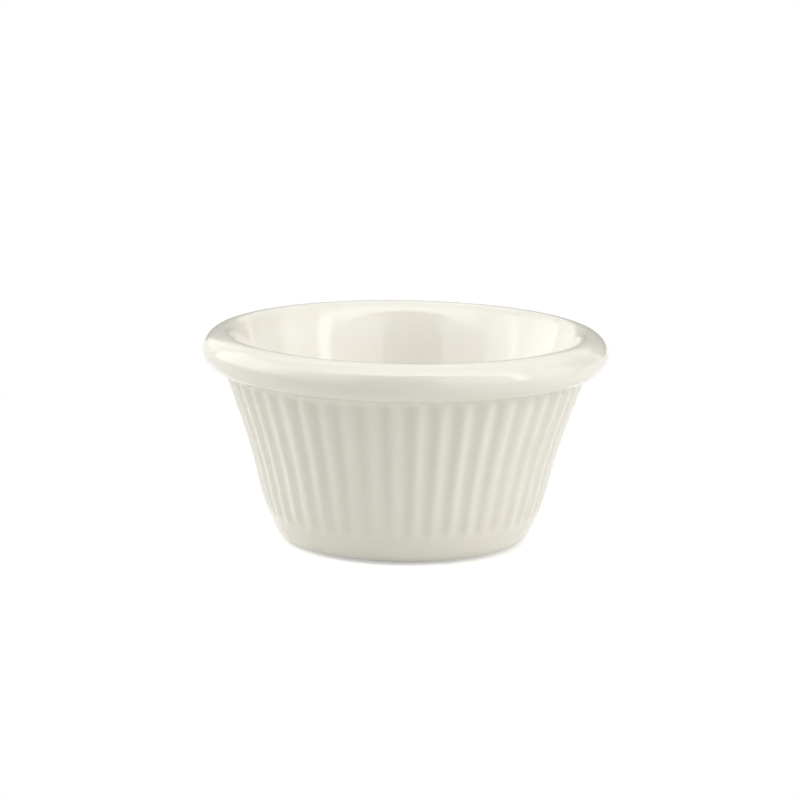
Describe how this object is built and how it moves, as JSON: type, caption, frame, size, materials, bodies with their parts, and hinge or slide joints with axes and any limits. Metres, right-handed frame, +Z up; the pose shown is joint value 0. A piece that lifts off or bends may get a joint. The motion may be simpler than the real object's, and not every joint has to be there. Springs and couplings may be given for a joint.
{
  "type": "ramekin",
  "caption": "Small round ramekin of glazed white ware: a flared bowl with fluted outer wall, plain foot band, rolled rim and dry foot ring, for single servings of sauce or custard.",
  "frame": {"origin": "on the table, under the middle of the foot ring", "axes": "+Z up along the bowl's axis, -Y towards the picture's camera, +X to its right"},
  "size_m": [0.067, 0.067, 0.0348],
  "materials": {
    "clay": "dry fired white clay, fine grained, unglazed on the foot ring",
    "glaze": "glossy warm white glaze, fired"
  },
  "bodies": {
    "root": {"clay_body": "clay", "glaze_coat": "glaze", "underside_glaze": "glaze"}
  },
  "joints": []
}
